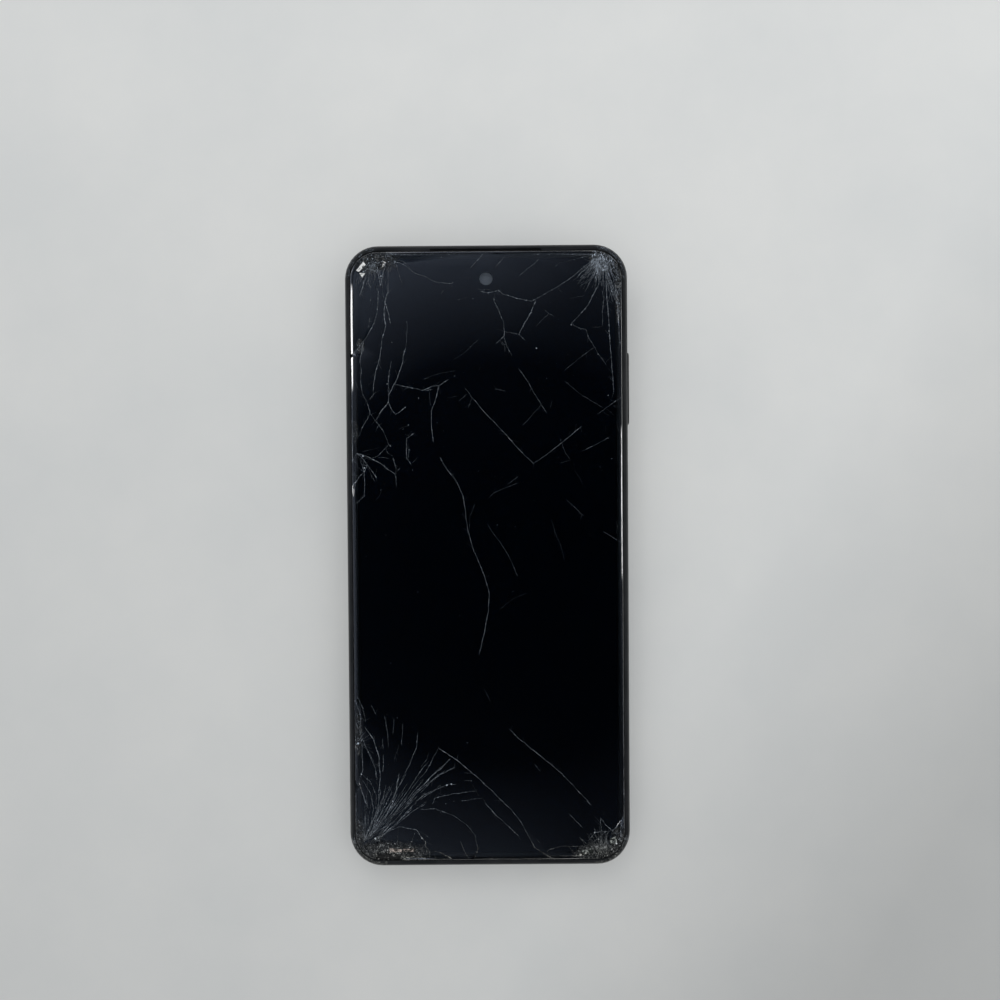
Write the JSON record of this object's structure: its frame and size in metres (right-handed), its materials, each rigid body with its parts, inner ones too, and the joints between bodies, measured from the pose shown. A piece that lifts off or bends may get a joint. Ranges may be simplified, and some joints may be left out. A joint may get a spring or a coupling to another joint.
{
  "type": "smartphone",
  "caption": "Black touch-screen phone with a shattered cover glass, punch-hole front camera, side keys, a SIM tray and a camera island on the back.",
  "frame": {"origin": "middle of the footprint at the level of the camera island's flat back", "axes": "+X to the right of the screen, +Y to the earpiece end, +Z out of the screen"},
  "size_m": [0.0763, 0.167, 0.0103],
  "materials": {
    "frame_black": "satin black",
    "cover_black": "smooth black",
    "island_black": "polished black",
    "camera_glass": "dark, polished",
    "camera_black": "matt black",
    "flash_lens": "frosted, yellowish",
    "cover_glass": "shattered, near black over the dark display",
    "glass_shard": "broken edges, frosted",
    "display": "switched off, near black",
    "adhesive": "matt black foam tape",
    "mesh_black": "fine woven",
    "flex_amber": "amber film",
    "flex_black": "black film",
    "board_green": "green lacquer",
    "shield_steel": "thin pressed steel",
    "cover_plastic": "moulded, matt",
    "battery_black": "wrapped in black film",
    "graphite": "graphite grey film",
    "steel": "bright",
    "microphone_gold": "gold plated can",
    "screw_steel": "dark plated"
  },
  "bodies": {
    "phone": {"antenna_cover": "cover_plastic", "antenna_lead": "flex_black", "battery": "battery_black", "board_flex": "flex_black", "bottom_microphone": "microphone_gold", "camera_island": "island_black", "camera_window_macro": "camera_glass", "camera_window_main": "camera_glass", "camera_window_wide": "camera_glass", "charge_board": "board_green", "cover_glass": "cover_glass", "display_adhesive": "adhesive", "display_flex": "flex_amber", "display_panel": "display", "earpiece_mesh": "mesh_black", "earpiece_speaker": "steel", "flash_lens": "flash_lens", "front_camera": "camera_black", "glass_shard_bottom_left_a": "glass_shard", "glass_shard_bottom_left_b": "glass_shard", "glass_shard_bottom_right_a": "glass_shard", "glass_shard_bottom_right_b": "glass_shard", "glass_shard_top_left_a": "glass_shard", "glass_shard_top_left_b": "glass_shard", "glass_shard_top_left_c": "glass_shard", "key_flex": "flex_amber", "loudspeaker": "cover_plastic", "macro_camera": "camera_black", "main_board": "board_green", "main_camera": "camera_black", "mid_frame": "frame_black", "power_shield": "shield_steel", "processor_shield": "shield_steel", "rear_cover": "cover_black", "screw_bottom_1": "screw_steel", "screw_bottom_2": "screw_steel", "screw_bottom_3": "screw_steel", "screw_bottom_4": "screw_steel", "screw_bottom_5": "screw_steel", "screw_top_1": "screw_steel", "screw_top_2": "screw_steel", "screw_top_3": "screw_steel", "screw_top_4": "screw_steel", "screw_top_5": "screw_steel", "sim_socket": "shield_steel", "speaker_cover": "cover_plastic", "thermal_sheet": "graphite", "usb_c_socket": "steel", "vibration_motor": "steel", "wide_camera": "camera_black"},
    "rocker": {"volume_rocker": "frame_black"},
    "power": {"power_key": "frame_black"},
    "tray": {"sim_tray": "frame_black"}
  },
  "joints": [
    {"name": "volume_rocker_hinge", "type": "hinge", "parent": "phone", "child": "rocker", "pos_m": [0.03515, 0.045, 0.0065], "axis": [0, 0, 1], "range_deg": [-1.5, 1.5], "stiffness_Nm_per_rad": 0.3},
    {"name": "power_key_slide", "type": "slide", "parent": "phone", "child": "power", "axis": [-1, 0, 0], "range_m": [0, 0.00025], "stiffness_N_per_m": 2000},
    {"name": "sim_tray_slide", "type": "slide", "parent": "phone", "child": "tray", "axis": [-1, 0, 0], "range_m": [0, 0.026]}
  ]
}
